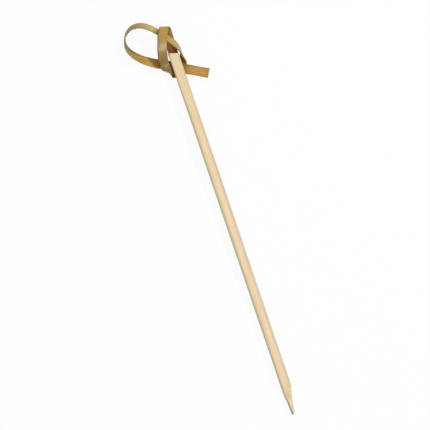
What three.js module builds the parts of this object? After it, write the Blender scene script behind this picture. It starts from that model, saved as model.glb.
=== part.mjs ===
// Knotted bamboo cocktail pick: a split stick with a knife-cut point. Its outer skin is left on past the
// slanting shoulder as a thin strip, which is tied into one knot with a long open loop and a short tail.
// Nothing is joined on, so the whole pick is one solid. Millimetres, +Z up, the point towards -Y.
import * as THREE from "three";

// Stick
const stickLength = 110;
const stickWidth = 3;
const stickDepth = 2.4;
const shoulderSlope = 0.29; // the shoulder is cut a little askew, higher on the left

// Knife-cut point, which lies left of the stick's middle
const pointLength = 8.3;
const pointWidth = 0.8;
const pointDepth = 0.8;
const pointOffset = 0.6;
const pointHollow = 1.8; // 1 for straight sides, more for sides that are cut hollow

// Skin strip
const stripWidth = 2.8;
const stripThickness = 0.45;

// Knot: heights are taken from the shoulder, reaches from the stick's middle
const riserHeight = 7.9;
const loopHeight = 10.75;
const loopReach = 12.2;
const tailDrop = 4.27;
const tailReach = 7.9;
const tailSlope = THREE.MathUtils.degToRad(29);
const crossingGap = 0.15;
const sideGap = 0.35;

// Levels of the strip's middle above the stick's back, one for each strand that crosses the stick
const pitch = stripThickness + crossingGap;
const halfStrip = stripWidth / 2;
const skinLevel = stripThickness / 2;
const tailLevel = skinLevel - pitch;
const wrapLevel = tailLevel - pitch;
const crossLevel = skinLevel + pitch + halfStrip;
const bandLevel = crossLevel + pitch + halfStrip;

// Where the strip passes the stick's left and right sides, and where it folds under the tail strand
const bandX = -(stickWidth / 2 + sideGap + halfStrip);
const turnX = stickWidth / 2 + stripThickness + 1.05 * sideGap;
const tailY = (x) => -tailDrop - x * Math.tan(tailSlope);
const creaseY = tailY(bandX) - halfStrip / Math.cos(tailSlope) - 1.55 * pitch;

// One place on the strip's route: its middle, and the way its left or upper edge points
const route = [];
function strand(x, y, z, edgeX, edgeY, edgeZ) {
  route.push({ middle: new THREE.Vector3(x, y, z), edge: new THREE.Vector3(edgeX, edgeY, edgeZ) });
}

// Straight up from the stick's back, and over the top towards the front
function riser() {
  strand(0, 0, skinLevel, -1, 0, 0);
  strand(0.1, 0.33 * riserHeight, skinLevel, -1, 0, 0);
  strand(0.22, 0.65 * riserHeight, skinLevel, -1, 0.02, 0);
  strand(0.25, 0.89 * riserHeight, 1.2 * skinLevel, -0.98, 0.12, -0.15);
  strand(0, riserHeight, 0.49 * bandLevel, -0.95, 0.28, -0.12);
}

// Down in front of the knot, left of the stick, and under the tail strand
function band() {
  strand(-0.55, 0.9 * riserHeight, 0.87 * bandLevel, -0.95, 0.32, 0);
  strand(0.41 * bandX, 0.72 * riserHeight, bandLevel, -0.95, 0.31, 0);
  strand(0.62 * bandX, 0.48 * riserHeight, 0.96 * bandLevel, -0.95, 0.31, 0);
  strand(0.85 * bandX, 0.21 * riserHeight, 0.81 * bandLevel, -0.97, 0.24, 0);
  strand(bandX, 0.09 * creaseY, 0.56 * bandLevel, -0.99, 0.12, 0);
  strand(bandX - 0.12, 0.47 * creaseY, 0.3 * bandLevel, -0.97, 0.25, 0.05);
  strand(bandX, 0.8 * creaseY, 0.13 * bandLevel, -0.86, 0.5, 0.12);
  strand(bandX + 0.44, creaseY, tailLevel - 0.03, -0.68, 0.73, 0);
}

// Behind the stick and the tail strand, round the right side and across the riser's front
function wrap() {
  strand(0.52 * bandX, 1.09 * creaseY, wrapLevel, -0.43, 0.9, 0);
  strand(0.03 * bandX, 0.99 * creaseY, wrapLevel, -0.4, 0.92, 0);
  strand(0.5 * turnX, 0.75 * creaseY, wrapLevel - 0.12, -0.5, 0.85, 0.12);
  strand(0.87 * turnX, 0.48 * creaseY, wrapLevel + 0.02, -0.4, 0.7, -0.44);
  strand(turnX, 0.18 * creaseY, 0.05 * crossLevel, -0.03, 0.8, -0.6);
  strand(0.92 * turnX, 0.07 * riserHeight, 0.51 * crossLevel, 0.1, 0.68, -0.73);
  strand(0.66 * turnX, 0.25 * riserHeight, 0.87 * crossLevel, 0.32, 0.38, -0.85);
  strand(0.28 * turnX, 0.44 * riserHeight, 0.95 * crossLevel, 0.42, 0.44, -0.79);
  strand(-0.23 * turnX, 0.66 * riserHeight, crossLevel, 0.32, 0.5, -0.8);
  strand(-1.04 * turnX, 0.92 * riserHeight, 0.94 * crossLevel, 0.22, 0.53, -0.82);
}

// Out to the left, round the loop's far end and back towards the stick
function loop() {
  strand(-0.333 * loopReach, 0.84 * loopHeight, 1.75, 0.18, 0.54, -0.82);
  strand(-0.537 * loopReach, 0.985 * loopHeight, 1.4, 0.17, 0.5, -0.85);
  strand(-0.75 * loopReach, loopHeight, 1.1, 0.17, 0.46, -0.87);
  strand(-0.92 * loopReach, 0.884 * loopHeight, 0.8, 0.17, 0.48, -0.86);
  strand(-loopReach, 0.695 * loopHeight, 0.5, 0.18, 0.52, -0.84);
  strand(-0.998 * loopReach, 0.508 * loopHeight, 0.3, 0.19, 0.58, -0.79);
  strand(-0.908 * loopReach, 0.309 * loopHeight, 0.1, 0.22, 0.66, -0.72);
  strand(-0.742 * loopReach, 0.109 * loopHeight, -0.1, 0.27, 0.78, -0.57);
  strand(-0.589 * loopReach, -0.019 * loopHeight, -0.22, 0.3, 0.82, -0.48);
  strand(-0.428 * loopReach, -0.131 * loopHeight, -0.32, 0.33, 0.87, -0.3);
}

// Straight on between the stick's back and the wrap, to a square cut end
function tail() {
  strand(bandX, tailY(bandX) + 0.12, tailLevel, 0.42, 0.86, -0.28);
  for (const share of [-0.07, 0.26, 0.62, 1]) {
    strand(share * tailReach, tailY(share * tailReach), tailLevel, 0.47, 0.88, 0);
  }
}

// One cross-section of the pick: where its middle is, which ways its width and its depth run, and their halves
const stations = [];
function station(middle, across, inwards, halfWidth, halfDepth) {
  stations.push({ middle, across, inwards, halfWidth, halfDepth });
}

// The stick, from the point's blunt end to the shoulder
function stick() {
  const across = new THREE.Vector3(-1, 0, 0);
  const inwards = new THREE.Vector3(0, 0, 1);
  const slice = (y, x, width, depth) => {
    const middle = new THREE.Vector3(x, y, depth / 2);
    station(middle, across, inwards, width / 2, depth / 2);
  };
  const pointCuts = [0, 0.54, 1];
  for (const share of pointCuts) {
    const spread = share ** pointHollow;
    const width = THREE.MathUtils.lerp(pointWidth, stickWidth, spread);
    const depth = THREE.MathUtils.lerp(pointDepth, stickDepth, share);
    slice(share * pointLength - stickLength, -pointOffset * (1 - spread), width, depth);
  }
  const lengths = 8;
  for (let i = 1; i <= lengths; i++) {
    slice((pointLength - stickLength) * (1 - i / lengths), 0, stickWidth, stickDepth);
  }
  stations.at(-1).across = new THREE.Vector3(-1, shoulderSlope, 0);
}

// The strip, as flat slices along a smooth curve through the route
function strip() {
  const line = new THREE.CatmullRomCurve3(route.map((place) => place.middle), false, "centripetal");
  const edges = new THREE.CatmullRomCurve3(route.map((place) => place.edge), false, "catmullrom", 0.5);
  const slices = 6 * (route.length - 1);
  const shoulderStep = 0.02;
  const squareSlices = 6;
  for (let i = 0; i <= slices; i++) {
    const forward = line.getTangent(i / slices);
    const across = edges.getPoint(i / slices).projectOnPlane(forward).normalize();
    const inwards = new THREE.Vector3().crossVectors(forward, across);
    across.y += shoulderSlope * Math.max(0, 1 - i / squareSlices);
    const middle = line.getPoint(i / slices);
    middle.y += i === 0 ? shoulderStep : 0;
    station(middle, across, inwards, halfStrip, stripThickness / 2);
  }
}

// An eight-sided bar with one step for each station, each of whose steps is then moved to its station
function bar() {
  const corner = 0.12;
  const section = new THREE.Shape([
    new THREE.Vector2(-1, corner - 1),
    new THREE.Vector2(corner - 1, -1),
    new THREE.Vector2(1 - corner, -1),
    new THREE.Vector2(1, corner - 1),
    new THREE.Vector2(1, 1 - corner),
    new THREE.Vector2(1 - corner, 1),
    new THREE.Vector2(corner - 1, 1),
    new THREE.Vector2(-1, 1 - corner),
  ]);
  const steps = stations.length - 1;
  const geometry = new THREE.ExtrudeGeometry(section, { depth: steps, steps, bevelEnabled: false });
  const places = geometry.getAttribute("position");
  const place = new THREE.Vector3();
  for (let i = 0; i < places.count; i++) {
    place.fromBufferAttribute(places, i);
    const { middle, across, inwards, halfWidth, halfDepth } = stations[Math.round(place.z)];
    const x = place.x * halfWidth;
    const y = place.y * halfDepth;
    place.copy(middle).addScaledVector(across, x).addScaledVector(inwards, y);
    places.setXYZ(i, place.x, place.y, place.z);
  }
  return geometry;
}

// Lays the pick down as it rests, on its point and the back of its knot, with the origin under its middle
function layDown(geometry) {
  geometry.translate(0, stickLength, 0);
  geometry.computeBoundingBox();
  const knotY = stickLength - tailDrop;
  geometry.rotateX(Math.atan2(-geometry.boundingBox.min.z, knotY));
  geometry.computeBoundingBox();
  const { min, max } = geometry.boundingBox;
  geometry.translate(-(min.x + max.x) / 2, -(min.y + max.y) / 2, -min.z);
  geometry.computeVertexNormals();
}

riser();
band();
wrap();
loop();
tail();
stick();
strip();

const geometry = bar();
layDown(geometry);
const bamboo = new THREE.MeshStandardMaterial({ color: "#d9b77c", roughness: 0.6, metalness: 0 });
const pick = new THREE.Mesh(geometry, bamboo);
pick.name = "knotted_pick";

const group = new THREE.Group();
group.add(pick);
export default group;
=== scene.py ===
import math

import bmesh
import bpy
from mathutils import Matrix, Vector, noise


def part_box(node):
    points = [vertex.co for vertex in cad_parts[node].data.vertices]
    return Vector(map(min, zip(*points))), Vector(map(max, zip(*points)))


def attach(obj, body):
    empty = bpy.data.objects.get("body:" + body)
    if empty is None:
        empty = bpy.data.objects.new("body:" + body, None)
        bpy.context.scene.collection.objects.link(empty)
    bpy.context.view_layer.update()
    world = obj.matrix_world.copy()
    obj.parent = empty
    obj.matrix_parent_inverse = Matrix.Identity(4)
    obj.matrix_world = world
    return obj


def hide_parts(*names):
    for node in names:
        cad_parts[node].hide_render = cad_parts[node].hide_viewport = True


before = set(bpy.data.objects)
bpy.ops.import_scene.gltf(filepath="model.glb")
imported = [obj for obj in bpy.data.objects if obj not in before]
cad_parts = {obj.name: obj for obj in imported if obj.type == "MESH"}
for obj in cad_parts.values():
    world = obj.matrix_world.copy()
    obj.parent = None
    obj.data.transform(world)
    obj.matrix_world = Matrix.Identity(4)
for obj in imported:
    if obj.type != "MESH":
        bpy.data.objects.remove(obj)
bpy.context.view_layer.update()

# The pick's route
# A cocktail pick split from bamboo. Its skin runs on past the shoulder as a thin strip, tied by hand into
# one knot: up and over to the front, down, round behind the stick, across the front, out in a loop, back.
# In millimetres from the middle of the shoulder's back edge, with the knot towards +Y.
STICK_LENGTH = 110.0
STICK_WIDTH = 3.0
STICK_DEPTH = 2.4
SHOULDER_SLOPE = 0.29
STRIP_WIDTH = 2.8
STRIP_THICKNESS = 0.45
RISER_HEIGHT = 7.9
LOOP_HEIGHT = 10.75
LOOP_REACH = 12.2
TAIL_DROP = 4.27
TAIL_REACH = 7.9
TAIL_SLOPE = math.radians(29)
CROSSING_GAP = 0.15
SIDE_GAP = 0.35

pitch = STRIP_THICKNESS + CROSSING_GAP
half_strip = STRIP_WIDTH / 2
skin_level = STRIP_THICKNESS / 2
tail_level = skin_level - pitch
wrap_level = tail_level - pitch
cross_level = skin_level + pitch + half_strip
band_level = cross_level + pitch + half_strip
band_x = -(STICK_WIDTH / 2 + SIDE_GAP + half_strip)
turn_x = STICK_WIDTH / 2 + STRIP_THICKNESS + 1.05 * SIDE_GAP


def tail_y(x):
    return -TAIL_DROP - x * math.tan(TAIL_SLOPE)


# Where the strip folds under the tail strand
crease_y = tail_y(band_x) - half_strip / math.cos(TAIL_SLOPE) - 1.55 * pitch

# Each place: across, along, level, and the way the strip's left or upper edge points
riser = [
    (0, 0, skin_level, (-1, 0, 0)),
    (0.1, 0.33 * RISER_HEIGHT, skin_level, (-1, 0, 0)),
    (0.22, 0.65 * RISER_HEIGHT, skin_level, (-1, 0.02, 0)),
    (0.25, 0.89 * RISER_HEIGHT, 1.2 * skin_level, (-0.98, 0.12, -0.15)),
    (0, RISER_HEIGHT, 0.49 * band_level, (-0.95, 0.28, -0.12)),
]
band = [
    (-0.55, 0.9 * RISER_HEIGHT, 0.87 * band_level, (-0.95, 0.32, 0)),
    (0.41 * band_x, 0.72 * RISER_HEIGHT, band_level, (-0.95, 0.31, 0)),
    (0.62 * band_x, 0.48 * RISER_HEIGHT, 0.96 * band_level, (-0.95, 0.31, 0)),
    (0.85 * band_x, 0.21 * RISER_HEIGHT, 0.81 * band_level, (-0.97, 0.24, 0)),
    (band_x, 0.09 * crease_y, 0.56 * band_level, (-0.99, 0.12, 0)),
    (band_x - 0.12, 0.47 * crease_y, 0.3 * band_level, (-0.97, 0.25, 0.05)),
    (band_x + 0.02, 0.79 * crease_y, 0.17 * band_level, (-0.82, 0.4, -0.3)),
    (band_x + 0.5, crease_y, tail_level - 0.03, (-0.62, 0.77, -0.1)),
]
wrap = [
    (0.52 * band_x, 1.09 * crease_y, wrap_level, (-0.43, 0.9, 0)),
    (0.03 * band_x, 0.99 * crease_y, wrap_level, (-0.4, 0.92, 0)),
    (0.5 * turn_x, 0.75 * crease_y, wrap_level - 0.12, (-0.5, 0.85, 0.12)),
    (0.87 * turn_x, 0.48 * crease_y, wrap_level + 0.02, (-0.4, 0.7, -0.44)),
    (turn_x, 0.18 * crease_y, 0.05 * cross_level, (-0.03, 0.8, -0.6)),
    (0.92 * turn_x, 0.07 * RISER_HEIGHT, 0.51 * cross_level, (0.1, 0.68, -0.73)),
    (0.66 * turn_x, 0.25 * RISER_HEIGHT, 0.87 * cross_level, (0.32, 0.38, -0.85)),
    (0.28 * turn_x, 0.44 * RISER_HEIGHT, 0.95 * cross_level, (0.42, 0.44, -0.79)),
    (-0.23 * turn_x, 0.66 * RISER_HEIGHT, cross_level, (0.32, 0.5, -0.8)),
    (-1.04 * turn_x, 0.92 * RISER_HEIGHT, 0.94 * cross_level, (0.22, 0.53, -0.82)),
]
loop = [
    (-0.333 * LOOP_REACH, 0.84 * LOOP_HEIGHT, 1.75, (0.18, 0.54, -0.82)),
    (-0.537 * LOOP_REACH, 0.985 * LOOP_HEIGHT, 1.4, (0.17, 0.5, -0.85)),
    (-0.75 * LOOP_REACH, LOOP_HEIGHT, 1.1, (0.17, 0.46, -0.87)),
    (-0.92 * LOOP_REACH, 0.884 * LOOP_HEIGHT, 0.8, (0.17, 0.48, -0.86)),
    (-LOOP_REACH, 0.695 * LOOP_HEIGHT, 0.5, (0.18, 0.52, -0.84)),
    (-0.998 * LOOP_REACH, 0.508 * LOOP_HEIGHT, 0.3, (0.19, 0.58, -0.79)),
    (-0.908 * LOOP_REACH, 0.309 * LOOP_HEIGHT, 0.1, (0.22, 0.66, -0.72)),
    (-0.742 * LOOP_REACH, 0.109 * LOOP_HEIGHT, -0.1, (0.27, 0.78, -0.57)),
    (-0.589 * LOOP_REACH, -0.019 * LOOP_HEIGHT, -0.22, (0.3, 0.82, -0.48)),
    (-0.428 * LOOP_REACH, -0.131 * LOOP_HEIGHT, -0.32, (0.33, 0.87, -0.3)),
]
tail = [(band_x, tail_y(band_x) + 0.12, tail_level, (0.42, 0.86, -0.28))]
for tail_share in (-0.07, 0.26, 0.62, 1.0):
    tail_x = tail_share * TAIL_REACH
    tail.append((tail_x, tail_y(tail_x), tail_level, (0.47, 0.88, 0)))
route = riser + band + wrap + loop + tail
middles = [Vector(place[:3]) for place in route]
edges = [Vector(place[3]) for place in route]


def smooth_curve(points, step, share, even):
    """A place on the smooth curve through the points, part of the way along a step, and its direction.

    Unless it is even, the curve is drawn tighter where points lie close together.
    """
    p1, p2 = points[step], points[step + 1]
    p0 = points[step - 1] if step > 0 else 2 * p1 - p2
    p3 = points[step + 2] if step + 2 < len(points) else 2 * p2 - p1
    if even:
        t1, t2 = (p2 - p0) / 2, (p3 - p1) / 2
    else:
        d0, d1, d2 = (math.sqrt((b - a).length) for a, b in ((p0, p1), (p1, p2), (p2, p3)))
        t1 = ((p1 - p0) / d0 - (p2 - p0) / (d0 + d1) + (p2 - p1) / d1) * d1
        t2 = ((p2 - p1) / d1 - (p3 - p1) / (d1 + d2) + (p3 - p2) / d2) * d1
    c2 = 3 * (p2 - p1) - 2 * t1 - t2
    c3 = 2 * (p1 - p2) + t1 + t2
    point = p1 + t1 * share + c2 * share**2 + c3 * share**3
    return point, t1 + 2 * c2 * share + 3 * c3 * share**2


# The pick's form
# The stick was split from a bamboo stem and planed flat, so its front corners are a little rounded and its
# back keeps the stem's curve. The strip is fuller in the middle than at its split edges, and never even.
STICK_STEP = 0.7
STRIP_STEP = 0.13
FACE_POINTS = 21
EDGE_POINTS = 7
CORNER_RADIUS = 0.34
BACK_CORNER = 0.18
STEM_CURVE = 0.14
EDGE_ROUND = 0.06
EDGE_THICKNESS = 0.66

# Places down the stick's side: share of the depth, and how far in
SIDE_PLACES = ((0.68, 0.0), (0.36, 0.01), (0.12, 0.03), (0.05, 0.1))

# The strip's two faces: how full each is in the middle, and how much less towards the edges
INNER_FACE = (0.86, 0.12)
SKIN_FACE = (1.0, 0.3)


def wander(place, row, size):
    """A smooth number, about -size to size, that drifts along the pick. Each feature has its own row."""
    return size * noise.noise(Vector((place, 17.3 * row, 4.1)))


def stick_section(along):
    """Points round the stick in turn: its front, left side, back and right side."""
    half = STICK_WIDTH / 2 + wander(along * 0.11, 1, 0.03)
    ring = []
    for k in range(FACE_POINTS):
        x = (half - CORNER_RADIUS) * (1 - 2 * k / (FACE_POINTS - 1))
        ring.append((x, STICK_DEPTH + wander(along * 0.07 + x, 2, 0.02)))
    left = []
    for angle in (25, 50, 75):
        turn = math.radians(angle)
        x = half - CORNER_RADIUS * (1 - math.sin(turn))
        left.append((x, STICK_DEPTH - CORNER_RADIUS * (1 - math.cos(turn))))
    for share, inset in SIDE_PLACES:
        left.append((half - inset, STICK_DEPTH * share))
    back = []
    for k in range(FACE_POINTS):
        x = (half - BACK_CORNER) * (2 * k / (FACE_POINTS - 1) - 1)
        back.append((x, STEM_CURVE * (x / half) ** 2))
    ring += [(-x, z) for x, z in left] + back + left[::-1]
    return [Vector((x, 0, z)) for x, z in ring]


# The pick's point
# It is whittled from the stick's own wood: a long cut down the right side that bites in with a step, a long
# one down the front, and two short ones up the left side. It ends blunt, left of the stick's middle.
POINT_LENGTH = 8.6
POINT_STEP = 0.1
BITE_PLACE = 8.4
BITE_LENGTH = 0.1
FACET_LEAN = 0.39
FACET_FOOT = 0.3
LEFT_LEAN = 0.06

# Each cut: places from the point's end, and how far across or up the wood is left there
RIGHT_CUT = [
    (0.0, -0.36), (0.3, -0.24), (2.0, 0.1), (4.2, 0.4), (6.3, 0.96), (BITE_PLACE, 1.4), (8.5, 1.6),
]
LEFT_CUT = [
    (0.0, -0.92), (0.35, -1.04), (2.8, -1.1), (4.2, -1.16), (4.4, -1.32), (7.2, -1.58), (8.6, -1.66),
]
FRONT_CUT = [(0.0, 0.6), (0.3, 0.85), (8.0, 2.36), (8.6, 2.6)]


def along_cut(cut, place):
    """Where a knife's cut lies at a distance from the point's end."""
    for (start, here), (stop, there) in zip(cut, cut[1:]):
        if place <= stop:
            return here + (there - here) * (place - start) / (stop - start)
    return cut[-1][1]


def whittle(point, place):
    """Moves a point of the stick in to the cuts, and says whether it now lies on the right one."""
    if place > POINT_LENGTH:
        return False
    point.z = min(point.z, along_cut(FRONT_CUT, place))
    lean = FACET_LEAN * (1 - max(0.0, (place - BITE_PLACE) / BITE_LENGTH))
    right = along_cut(RIGHT_CUT, place) - lean * (point.z - FACET_FOOT)
    left = along_cut(LEFT_CUT, place) + LEFT_LEAN * point.z
    cut = point.x > right
    point.x = max(min(point.x, right), left)
    return cut


def strip_section(along):
    """Points round the strip in turn: inner face, left edge, skin and right edge, about its middle."""
    half = half_strip * (1 + wander(along * 0.23, 3, 0.03) + wander(along * 1.3, 4, 0.012))
    thick = STRIP_THICKNESS / 2 * (1 + wander(along * 0.31, 5, 0.12))
    ring = []
    for side, order in ((1, 1), (-1, -1)):
        for k in range(FACE_POINTS):
            x = order * (1 - 2 * k / (FACE_POINTS - 1)) * (half - EDGE_ROUND)
            full, less = INNER_FACE if side > 0 else SKIN_FACE
            bulge = full - less * (x / half) ** 2
            ridge = wander(along * 0.12 + 9 * side, 6 + 3.1 * x, 0.03) if side > 0 else 0
            ring.append((x, side * thick * bulge + ridge * (1 - (x / half) ** 4)))
        for k in range(EDGE_POINTS):
            turn = math.pi * (k + 1) / (EDGE_POINTS + 1)
            fray = wander(along * 2.1 + 5 * side, 8, 0.02)
            reach = half - EDGE_ROUND + (EDGE_ROUND + fray) * math.sin(turn)
            ring.append((-order * reach, side * thick * EDGE_THICKNESS * math.cos(turn)))
    return ring


def rise(value, start, stop):
    """0 below start, 1 above stop, and smooth from one to the other."""
    share = min(max((value - start) / (stop - start), 0.0), 1.0)
    return share * share * (3 - 2 * share)


def stick_shade_and_brown(point, place):
    """Painted shade on the stick's edges and the point's left cuts, and browner tones on the point, 0 to 1.
    """
    # Painted shade along the rounded long edges, which turn away from the lamps: more on the left, less on
    # the right
    shift_in = 0.2 * rise(place, 85, 104) + wander(place * 0.35, 11, 0.07)
    left = rise(-point.x, 0.5 + shift_in, 1.12 + shift_in)
    right = rise(point.x, 0.4, 1.25)
    toast = 0.5 * left + 0.26 * right
    # Painted shade on the point's left cuts, deepest about 5 mm from its end; then a warm spot, and darker
    # towards the end
    near = 1 - rise(place, 3.0, 11.0)
    edge = -along_cut(LEFT_CUT, place)
    cut_left = rise(-point.x, edge - 0.62, edge - 0.26)
    dark = math.exp(-(((place - 5.0) / 1.9) ** 2))
    warm = math.exp(-(((point.x + 0.35) / 0.4) ** 2) - ((place - 5.8) / 1.7) ** 2)
    end_darkening = 0.7 * (1 - rise(place, 0.8, 2.6))
    return max(toast, near * cut_left * (0.8 + 0.15 * dark), 0.2 * warm, end_darkening)


def strip_painted_shade(step, side):
    """How much painted shade the strip has, 0 to 1: on the right above the shoulder, and at the loop's far
    end.
    """
    above_shoulder = 0.62 * (1 - rise(step, 0.9, 1.6)) * rise(side, -0.9, 0.5)
    far_end = 0.6 * math.exp(-(((step - 28.5) / 1.0) ** 2)) * rise(-side, -0.1, 0.5)
    return above_shoulder + far_end


FINE_LENGTH = 10.0
# Painted shadow in the step where the right cut bites in; the rest of the cut facet is a little greyer
BITE_PAINTED_SHADOW = 0.5
FACET_TOAST = 0.1
SHOULDER_BEVEL = 0.05
SHOULDER_FRAY = 0.4
rings = []
lengths = []
shade_and_brown_rows = []
places = [POINT_STEP * i for i in range(round(FINE_LENGTH / POINT_STEP))]
steps = round((STICK_LENGTH - FINE_LENGTH) / STICK_STEP)
places += [FINE_LENGTH + (STICK_LENGTH - FINE_LENGTH) * i / steps for i in range(steps + 1)]
facet = set()
for place in places:
    ring = stick_section(place)
    for k, point in enumerate(ring):
        if whittle(point, place):
            facet.add((len(rings), k))
        point.y = place - STICK_LENGTH
    rings.append(ring)
    lengths.append(place)
    # The bite's step gets the painted shadow
    bitten = abs(place - (BITE_PLACE - POINT_STEP / 2)) < POINT_STEP
    facet_shadow_and_tone = BITE_PAINTED_SHADOW if bitten else FACET_TOAST
    cuts = [(len(rings) - 1, k) in facet for k in range(len(ring))]
    shade_and_brown_rows.append([facet_shadow_and_tone if cut else stick_shade_and_brown(point, place) for point, cut in zip(ring, cuts)])
shoulder_ring = len(rings) - 1
for point in rings[-1]:
    point.y -= point.x * SHOULDER_SLOPE
    point.x *= 1 - SHOULDER_BEVEL / 2
    point.z = max(point.z - (SHOULDER_BEVEL if point.z > STICK_DEPTH / 2 else 0), 0)
sides = [[0.0] * len(ring) for ring in rings]
frays = [[0.0] * len(ring) for ring in rings]
frays[-1] = [SHOULDER_FRAY] * len(rings[-1])
ways = [Vector((0, 1, 0))] * len(rings)

SHOULDER_STEP = 0.02
SLANT_LENGTH = 1.2
EDGE_FRAY = 0.3
END_FRAY = 1.0
strip_along = 0.0
route_lengths = [0.0]
for step in range(len(route) - 1):
    count = max(4, round((middles[step + 1] - middles[step]).length / STRIP_STEP))
    before = middles[step]
    for k in range(0 if step == 0 else 1, count + 1):
        middle, forward = smooth_curve(middles, step, k / count, even=False)
        edge, _ = smooth_curve(edges, step, k / count, even=True)
        forward.normalize()
        across = -(edge - forward * edge.dot(forward)).normalized()
        inwards = across.cross(forward)
        strip_along += (middle - before).length
        before = middle
        if step == 0 and k == 0:
            middle = middle + Vector((0, SHOULDER_STEP, 0))
        slant = Vector((0, -SHOULDER_SLOPE * max(0, 1 - strip_along / SLANT_LENGTH), 0))
        section = strip_section(strip_along)
        rings.append([middle + (across + slant) * x + inwards * y for x, y in section])
        sides.append([x / half_strip for x, _ in section])
        frays.append([EDGE_FRAY * rise(abs(x) / half_strip, 0.9, 0.97) for x, _ in section])
        ways.append(forward)
        shade_and_brown_rows.append([strip_painted_shade(step + k / count, x / half_strip) for x, _ in section])
        lengths.append(STICK_LENGTH + strip_along)
    route_lengths.append(strip_along)
frays[-1] = [END_FRAY] * len(rings[-1])

# Which of the five finishes each face of the pick has
FRONT, SIDE, SKIN, INNER, CUT = range(5)
around = len(rings[0])
form = bmesh.new()
grain = form.loops.layers.uv.new("grain")
# Painted shade, and browning on the stick's point, kept on the vertices for the finishes
shade_and_brown_layer = form.verts.layers.float.new("toast")
edge_share = form.verts.layers.float.new("side")
frayed = form.verts.layers.float.new("fray")
fibre_way = form.verts.layers.float_vector.new("fibre_way")
corners = [[form.verts.new(point) for point in ring] for ring in rings]
for row, way, *shares in zip(corners, ways, shade_and_brown_rows, sides, frays):
    for corner, toast, side, fray in zip(row, *shares):
        corner[shade_and_brown_layer] = toast
        corner[edge_share] = side
        corner[frayed] = fray
        corner[fibre_way] = way


def finish_of(ring, k):
    """The finish of the face that starts at a ring's point k."""
    if ring == shoulder_ring:
        return CUT
    face = k < FACE_POINTS
    back = FACE_POINTS + EDGE_POINTS - 1 <= k < 2 * FACE_POINTS + EDGE_POINTS
    if ring < shoulder_ring and not back:
        front = face or k == around - 1 or (ring, k) in facet
        return FRONT if front else SIDE
    return SKIN if back else INNER


def round_ring(ring):
    """Distances round a ring, from its first point, on to its first point again."""
    sums = [0.0]
    for k in range(around):
        sums.append(sums[-1] + (ring[(k + 1) % around] - ring[k]).length)
    return sums


# The grain's map: how many millimetres it spans along the pick and round it
GRAIN_LENGTH = 200.0
GRAIN_ROUND = 20.0
girths = [round_ring(ring) for ring in rings]
for i in range(len(rings) - 1):
    for k in range(around):
        after = (k + 1) % around
        face = form.faces.new((corners[i][k], corners[i + 1][k], corners[i + 1][after], corners[i][after]))
        face.material_index = finish_of(i, k)
        face.smooth = not facet.issuperset(((i, k), (i + 1, k), (i + 1, after), (i, after)))
        for corner, (row, column) in zip(face.loops, ((i, k), (i + 1, k), (i + 1, k + 1), (i, k + 1))):
            corner[grain].uv = (lengths[row] / GRAIN_LENGTH, girths[row][column] / GRAIN_ROUND)
for ring in (corners[0], corners[-1][::-1]):
    cap = form.faces.new(ring)
    cap.material_index = CUT

bmesh.ops.remove_doubles(form, verts=form.verts, dist=1e-5)
bmesh.ops.recalc_face_normals(form, faces=form.faces)

# The pick lies on its point and on the back of its knot, where the frame's node lies
low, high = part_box("knotted_pick")
lowest = min(vertex.co.z for vertex in form.verts)
tilt = math.atan2(-lowest, STICK_LENGTH - TAIL_DROP)
bmesh.ops.transform(form, verts=form.verts, matrix=Matrix.Rotation(tilt, 4, "X"))
MM = 0.001
spans = [[end(vertex.co[axis] for vertex in form.verts) for end in (min, max)] for axis in range(3)]
shift = Vector((
    (low.x + high.x) / 2 - MM * sum(spans[0]) / 2,
    (low.y + high.y) / 2 - MM * sum(spans[1]) / 2,
    low.z - MM * spans[2][0],
))
bmesh.ops.transform(form, verts=form.verts, matrix=Matrix.Translation(shift) @ Matrix.Scale(MM, 4))
mesh = bpy.data.meshes.new("bamboo_pick")
form.to_mesh(mesh)
form.free()
pick = bpy.data.objects.new("bamboo_pick", mesh)
bpy.context.collection.objects.link(pick)


# The pick's finishes
# It is bare bamboo: the planed inner wood is pale and straight grained, and the skin waxy and olive gold.
# The strip's inner face was torn along the fibres and is browner. Cut ends show the fibres as small dots.

class Wire:
    """A socket in a material. An expression of wires and numbers adds the Math nodes that it needs."""

    def __init__(self, bench, socket):
        self.bench = bench
        self.socket = socket

    def maths(self, operation, *values):
        return self.bench.node("ShaderNodeMath", {"operation": operation}, dict(enumerate(values)))

    def vector_maths(self, operation, *values):
        return self.bench.node("ShaderNodeVectorMath", {"operation": operation}, dict(enumerate(values)))

    def __add__(self, other):
        return self.maths("ADD", self, other)

    def __radd__(self, other):
        return self.maths("ADD", other, self)

    def __sub__(self, other):
        return self.maths("SUBTRACT", self, other)

    def __rsub__(self, other):
        return self.maths("SUBTRACT", other, self)

    def __mul__(self, other):
        return self.maths("MULTIPLY", self, other)

    def __rmul__(self, other):
        return self.maths("MULTIPLY", other, self)

    def between(self, start, end):
        """0 below start, 1 above end, and smooth from one to the other."""
        settings = {"interpolation_type": "SMOOTHSTEP"}
        return self.bench.node("ShaderNodeMapRange", settings, {0: self, 1: start, 2: end})

    def twin(self, name):
        """Another output of the same node."""
        return Wire(self.bench, self.socket.node.outputs[name])


def linear(red, green, blue):
    """A colour given as it looks on a screen, from 0 to 255, in the renderer's own numbers."""
    shares = [value / 255 for value in (red, green, blue)]
    return [s / 12.92 if s <= 0.04045 else ((s + 0.055) / 1.055) ** 2.4 for s in shares] + [1.0]


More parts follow.
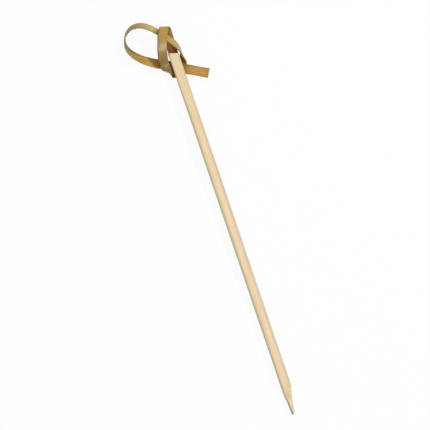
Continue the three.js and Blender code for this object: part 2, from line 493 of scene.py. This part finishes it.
class Bench:
    """A new material and its nodes, or a node tree that is given."""

    def __init__(self, name="", tree=None):
        if tree is None:
            self.material = bpy.data.materials.new(name)
            self.material.use_nodes = True
            tree = self.material.node_tree
        self.tree = tree
        self.tree.nodes.clear()

    def node(self, kind, settings=None, sockets=None, output=0):
        """A new node, with its settings and its sockets' values or links. Gives one of its outputs."""
        made = self.tree.nodes.new(kind)
        for name, value in (settings or {}).items():
            if name == "stops":
                self.set_stops(made.color_ramp, value)
            else:
                setattr(made, name, value)
        for key, value in (sockets or {}).items():
            if isinstance(value, Wire):
                self.tree.links.new(value.socket, made.inputs[key])
            else:
                made.inputs[key].default_value = value
        return Wire(self, made.outputs[output]) if len(made.outputs) else None

    @staticmethod
    def set_stops(ramp, stops):
        while len(ramp.elements) < len(stops):
            ramp.elements.new(0.5)
        for element, (place, colour) in zip(ramp.elements, stops):
            element.position = place
            element.color = colour

    def ramp(self, value, stops):
        """A colour that goes from stop to stop as the value grows."""
        return self.node("ShaderNodeValToRGB", {"stops": stops}, {0: value})

    def mix(self, share, first, second, way="MIX"):
        """Two colours mixed by a share."""
        settings = {"data_type": "RGBA", "blend_type": way}
        return self.node("ShaderNodeMix", settings, {0: share, 6: first, 7: second}, output=2)

    def streaks(self, vector, scales, detail):
        """Noise drawn out by the three scales, in the units of the vector."""
        drawn = self.node("ShaderNodeVectorMath", {"operation": "MULTIPLY"}, {0: vector, 1: scales})
        sockets = {"Vector": drawn, "Scale": 1.0, "Detail": detail, "Roughness": 0.55}
        return self.node("ShaderNodeTexNoise", {}, sockets)

    def finish(self, colour, roughness, height, depth, coat=0.0):
        """A bamboo surface: its colour, roughness, the height and depth of its grain, and its wax."""
        bump = self.node("ShaderNodeBump", {}, {"Strength": 0.6, "Distance": depth, "Height": height})
        sockets = {"Base Color": colour, "Roughness": roughness, "Normal": bump}
        sockets |= {"Specular IOR Level": 0.25, "Coat Weight": coat, "Coat Roughness": 0.22}
        surface = self.node("ShaderNodeBsdfPrincipled", {}, sockets)
        self.node("ShaderNodeOutputMaterial", {}, {"Surface": surface})
        return self.material


def planed_wood(name, dark, light, bundle):
    """Straight fibres along the stick, the thin darker bundles between them, its browner parts and its
    painted shade.
    """
    bench = Bench(name)
    place = bench.node("ShaderNodeTexCoord", {}, {}, output=3)
    broad = bench.streaks(place, (1100, 22, 1100), 2.0)
    fine = bench.streaks(place, (7000, 150, 7000), 3.0)
    lines = bench.streaks(place, (3600, 55, 3600), 2.0).between(0.56, 0.68)
    tone = broad.between(0.3, 0.7) * 0.55 + fine.between(0.3, 0.7) * 0.45
    colour = bench.mix(tone, dark, light)
    colour = bench.mix(lines * 0.5, colour, bundle)
    # Painted shade on the edges, the point's left cuts and the bite, and browner tones on the point
    toast = bench.node("ShaderNodeAttribute", {"attribute_name": "toast"}, {}, output=2)
    toast = toast * (0.8 + 0.4 * fine)
    tan = bench.mix(toast * 2.0, colour, linear(196, 176, 140))
    colour = bench.mix(toast.between(0.5, 1.0), tan, linear(128, 98, 60))
    return bench.finish(colour, 0.5 + fine * 0.2, fine - lines * 0.5, 0.00003)


def tones_along(stops):
    """Stops for a ramp over the grain's length, from the steps of the route and their colours."""
    made = []
    for step, tone in stops:
        whole = min(int(step), len(route_lengths) - 2)
        part = route_lengths[whole] + (step - whole) * (route_lengths[whole + 1] - route_lengths[whole])
        made.append(((STICK_LENGTH + part) / GRAIN_LENGTH, linear(*tone)))
    return [(0.0, made[0][1])] + made


def strip_finish(name, stops, edge_tone, contrast, gloss):
    """Tones that change along the strip, streaked by its fibres, olive or brown along its edges, and
    painted shade.
    """
    bench = Bench(name)
    place = bench.node("ShaderNodeUVMap", {"uv_map": "grain"})
    split = bench.node("ShaderNodeSeparateXYZ", {}, {0: place})
    tone = bench.ramp(split, tones_along(stops))
    broad = bench.streaks(place, (26, 26, 1), 2.0)
    fibres = bench.streaks(place, (34, 190, 1), 3.0)
    hairs = bench.streaks(place, (60, 620, 1), 2.0)
    streak = fibres.between(0.32, 0.68) * 0.65 + hairs.between(0.3, 0.7) * 0.35
    shades = [int(255 * (1 - contrast * share)) for share in (0.55, 0.8, 1.0)]
    dark = bench.mix(1.0, tone, linear(*shades), "MULTIPLY")
    colour = bench.mix(streak, dark, tone)
    side = bench.node("ShaderNodeAttribute", {"attribute_name": "side"}, {}, output=2)
    wavy = broad * 0.3 - 0.15
    lower = (side + wavy).between(0.5, 0.95)
    upper = (0 - side + wavy).between(0.5, 0.95)
    colour = bench.mix(lower * 0.45, colour, linear(*edge_tone))
    colour = bench.mix(upper * 0.5, colour, linear(*(int(0.6 * value) for value in edge_tone)))
    # Painted shade, dark brown, from the attribute
    toast = bench.node("ShaderNodeAttribute", {"attribute_name": "toast"}, {}, output=2)
    colour = bench.mix(toast, colour, linear(84, 56, 30))
    if gloss:
        return bench.finish(colour, 0.42 + hairs * 0.12, fibres, 0.000004, 0.74)
    return bench.finish(colour, 0.5 + fibres * 0.25, fibres + hairs * 0.6, 0.00005)


# Steps of the route, and the strip's colour there on each side
# Painted shade: darker down the band's lower half, steps 8 to 12, which faces down, away from the lamps,
# and at step 22, where the strand passes under the top of the band
SKIN_TONES = [
    (0, (196, 168, 104)), (4, (186, 148, 62)), (6, (186, 149, 54)), (7, (180, 150, 58)),
    (8, (160, 134, 48)), (9, (142, 118, 40)), (11, (150, 116, 46)), (12, (142, 106, 38)),
    (14, (160, 124, 56)), (16, (150, 116, 62)), (18, (170, 136, 66)), (20, (200, 164, 72)),
    (21, (194, 150, 58)), (22, (170, 122, 50)), (22.7, (222, 188, 96)), (23, (204, 172, 75)),
    (24, (176, 144, 53)), (25, (111, 93, 39)), (26, (70, 61, 33)), (28, (140, 118, 64)),
    (31, (170, 140, 70)), (36, (186, 150, 84)),
]
# From step 33 to 34.3 the tail is darker: painted shadow of the stick, beside and behind it
INNER_TONES = [
    (0, (250, 190, 130)), (0.7, (250, 186, 122)), (1.2, (240, 174, 98)), (2, (176, 134, 70)),
    (3.5, (164, 130, 70)), (6, (180, 136, 66)), (12, (160, 104, 42)), (13, (176, 126, 54)),
    (15, (180, 122, 52)), (17, (188, 132, 62)), (19, (160, 112, 52)), (21, (186, 148, 78)),
    (25.5, (150, 130, 80)), (27, (124, 106, 62)), (28, (176, 146, 86)), (29, (204, 170, 92)),
    (31, (222, 186, 90)), (31.8, (206, 148, 58)), (32.4, (190, 116, 42)), (33, (164, 108, 42)),
    (34.3, (150, 100, 42)), (34.8, (184, 138, 60)), (35.6, (218, 178, 94)), (36.6, (222, 178, 98)),
    (37, (196, 160, 94)),
]


def cut_grain():
    """Cut fibres, seen end on."""
    bench = Bench("cut_bamboo_ends")
    place = bench.node("ShaderNodeTexCoord", {}, {}, output=3)
    settings = {"feature": "F1"}
    dots = bench.node("ShaderNodeTexVoronoi", settings, {"Vector": place, "Scale": 3400.0})
    ring = dots.between(0.25, 0.6)
    speckle = bench.streaks(place, (9000, 9000, 9000), 2.0)
    colour = bench.mix(ring, linear(146, 104, 58), linear(222, 190, 138))
    colour = bench.mix(speckle * 0.4, colour, linear(190, 150, 96))
    return bench.finish(colour, 0.7 + speckle * 0.2, ring + speckle, 0.00004)


finishes = [
    planed_wood("planed_bamboo", linear(222, 196, 155), linear(243, 224, 190), linear(212, 180, 134)),
    planed_wood("split_bamboo_side", linear(188, 160, 116), linear(214, 190, 148), linear(160, 124, 78)),
    strip_finish("waxy_bamboo_skin", SKIN_TONES, (140, 126, 66), 0.3, True),
    strip_finish("torn_strip_inside", INNER_TONES, (158, 142, 72), 0.62, False),
    cut_grain(),
]
for finish in finishes:
    mesh.materials.append(finish)
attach(pick, "root")
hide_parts("knotted_pick")

# The loose fibres
# Hair-fine fibres of the same bamboo stand up where it was split or cut: at the shoulder, along the strip's
# two edges and at the tail's end. Each is still held at its root.
FIBRE_SIZES = {
    "Fibres per square metre": ("NodeSocketFloat", 9e6),
    "Fibre length": ("NodeSocketFloat", 0.8 * MM),
    "Fibre thickness": ("NodeSocketFloat", 0.05 * MM),
    "Lift": ("NodeSocketFloat", 0.2),
    "Spread": ("NodeSocketFloat", 0.3),
    "Seed": ("NodeSocketInt", 7),
}
SHORTEST_SHARE = 0.25


def pale_fibre():
    """Pale straw, browner in patches."""
    bench = Bench("loose_fibre")
    place = bench.node("ShaderNodeTexCoord", {}, {}, output=3)
    patchy = bench.streaks(place, (900, 900, 900), 2.0)
    fine = bench.streaks(place, (9000, 9000, 9000), 2.0)
    colour = bench.mix(patchy.between(0.35, 0.65), linear(226, 198, 146), linear(176, 138, 84))
    colour = bench.mix(fine * 0.3, colour, linear(240, 222, 184))
    return bench.finish(colour, 0.5 + fine * 0.2, fine, 0.000004)


growth = bpy.data.node_groups.new("loose_fibres", "GeometryNodeTree")
growth.interface.new_socket("Geometry", in_out="INPUT", socket_type="NodeSocketGeometry")
growth.interface.new_socket("Geometry", in_out="OUTPUT", socket_type="NodeSocketGeometry")
identifiers = {}
for label, (kind, _) in FIBRE_SIZES.items():
    identifiers[label] = growth.interface.new_socket(label, in_out="INPUT", socket_type=kind).identifier
grow = Bench(tree=growth)
wood = grow.node("NodeGroupInput")
seed = wood.twin("Seed")
fray = grow.node("GeometryNodeInputNamedAttribute", {"data_type": "FLOAT"}, {"Name": "fray"})
way = grow.node("GeometryNodeInputNamedAttribute", {"data_type": "FLOAT_VECTOR"}, {"Name": "fibre_way"})
density = fray * wood.twin("Fibres per square metre")
sockets = {"Mesh": wood, "Density": density, "Seed": seed}
roots = grow.node("GeometryNodeDistributePointsOnFaces", {"distribute_method": "RANDOM"}, sockets)
sockets = {"Min": (-1, -1, -1), "Max": (1, 1, 1), "Seed": seed}
stray = grow.node("FunctionNodeRandomValue", {"data_type": "FLOAT_VECTOR"}, sockets)
lifted = roots.twin("Normal").vector_maths("MULTIPLY", roots.twin("Normal"), wood.twin("Lift"))
spread = stray.vector_maths("MULTIPLY", stray, wood.twin("Spread"))
heading = way.vector_maths("ADD", way.vector_maths("ADD", way, lifted), spread)
turned = grow.node("FunctionNodeAlignRotationToVector", {"axis": "Z"}, {"Vector": heading})
sockets = {2: SHORTEST_SHARE, 3: 1.0, "Seed": seed + 1}
size = grow.node("FunctionNodeRandomValue", {"data_type": "FLOAT"}, sockets, output=1)
thick = wood.twin("Fibre thickness")
sockets = {"Vertices": 5, "Radius Top": thick * 0.12, "Radius Bottom": thick * 0.5}
fibre = grow.node("GeometryNodeMeshCone", {}, sockets | {"Depth": wood.twin("Fibre length")})
sockets = {"Points": roots, "Instance": fibre, "Rotation": turned, "Scale": size}
copies = grow.node("GeometryNodeInstanceOnPoints", {}, sockets)
whole = grow.node("GeometryNodeRealizeInstances", {}, {"Geometry": copies})
whole = grow.node("GeometryNodeSetMaterial", {}, {"Geometry": whole, "Material": pale_fibre()})
grow.node("NodeGroupOutput", {}, {"Geometry": whole})

fibres = bpy.data.objects.new("loose_fibres", mesh)
bpy.context.collection.objects.link(fibres)
modifier = fibres.modifiers.new("growth", "NODES")
modifier.node_group = growth
for label, (_, value) in FIBRE_SIZES.items():
    modifier[identifiers[label]] = value
grown = fibres.evaluated_get(bpy.context.evaluated_depsgraph_get())
fibre_mesh = bpy.data.meshes.new_from_object(grown)
fibres.modifiers.remove(modifier)
fibres.data = fibre_mesh

# Fibres under the knot are pressed flat on the table
for vertex in fibre_mesh.vertices:
    vertex.co.z = max(vertex.co.z, 0)
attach(fibres, "root")

# The floor
# A plain white table that the pick lies on. The camera sees it almost as white as the paper behind a
# product photograph, and it keeps the pick's soft shadow.
FLOOR_SIDE = 1.6
FLOOR_WHITE = 0.92
floor_mesh = bpy.data.meshes.new("table")
reach = FLOOR_SIDE / 2
floor_corners = [(-reach, -reach, 0), (reach, -reach, 0), (reach, reach, 0), (-reach, reach, 0)]
floor_mesh.from_pydata(floor_corners, [], [(0, 1, 2, 3)])
floor = bpy.data.objects.new("table", floor_mesh)
bpy.context.collection.objects.link(floor)


def seen_rays(bench):
    """1 for rays from the camera and for those that a glossy or clear surface sends on, else 0."""
    rays = bench.node("ShaderNodeLightPath")
    sent_on = rays.maths("MAXIMUM", rays.twin("Is Glossy Ray"), rays.twin("Is Transmission Ray"))
    return rays.maths("MAXIMUM", rays, sent_on)


table = Bench("white_table")
matt = table.node("ShaderNodeBsdfDiffuse", {}, {"Color": linear(244, 244, 244)})
white = table.node("ShaderNodeEmission", {}, {"Color": (1, 1, 1, 1), "Strength": 1.0})
surface = table.node("ShaderNodeMixShader", {}, {0: seen_rays(table) * FLOOR_WHITE, 1: matt, 2: white})
table.node("ShaderNodeOutputMaterial", {}, {"Surface": surface})
table.material.cycles.emission_sampling = "NONE"
floor_mesh.materials.append(table.material)

# The light
# A small bright lamp up and to the right, which draws the gleam on the waxy skin, a soft one lower in the
# picture, and an even room round them that is seen as white.
ROOM_LIGHT = 0.5
world = bpy.data.worlds.new("room")
bpy.context.scene.world = world
world.use_nodes = True
room = Bench(tree=world.node_tree)
strength = ROOM_LIGHT + (1 - ROOM_LIGHT) * seen_rays(room)
walls = room.node("ShaderNodeBackground", {}, {"Color": (1, 1, 1, 1), "Strength": strength})
room.node("ShaderNodeOutputWorld", {}, {"Surface": walls})

PICTURE_TURN = math.radians(-18.71)
turn = Matrix.Rotation(PICTURE_TURN, 3, "Z")


def soft_box(name, place, side_length, power):
    """A square lamp at a place given in the picture's own right, up and towards the viewer."""
    lamp = bpy.data.lights.new(name, "AREA")
    lamp.size = side_length
    lamp.energy = power
    box = bpy.data.objects.new(name, lamp)
    box.location = turn @ Vector(place)
    box.rotation_euler = (-box.location).to_track_quat("-Z", "Y").to_euler()
    bpy.context.collection.objects.link(box)


soft_box("key_box", place=(0.35, 0.37, 0.55), side_length=0.07, power=2.7)
soft_box("top_box", place=(0.02, -0.3, 0.6), side_length=0.2, power=0.9)

# The camera
# It looks straight down through a long lens, and is turned so that the stick leans as in the photograph.
# A pixel has its named size at the level of the stick's middle.
PHOTO_SIDE = 430
PIXEL = 0.289 * MM
MIDDLE_ACROSS = -3.56 * MM
MIDDLE_BELOW_SHOULDER = 48.05 * MM
MIDDLE_LEVEL = 1.5 * MM
LENS = 200.0
SENSOR = 36.0
camera = bpy.data.objects.new("camera", bpy.data.cameras.new("camera"))
camera.data.lens = LENS
camera.data.sensor_width = SENSOR
camera.data.clip_start = 0.01
distance = PHOTO_SIDE * PIXEL * LENS / SENSOR
shoulder = Vector((shift.x, shift.y, 0))
picture_middle = Vector((MIDDLE_ACROSS, -MIDDLE_BELOW_SHOULDER, MIDDLE_LEVEL + distance))
camera.location = shoulder + picture_middle
camera.rotation_euler = (0, 0, PICTURE_TURN)
bpy.context.collection.objects.link(camera)
bpy.context.scene.camera = camera
bpy.context.scene.view_settings.view_transform = "Standard"
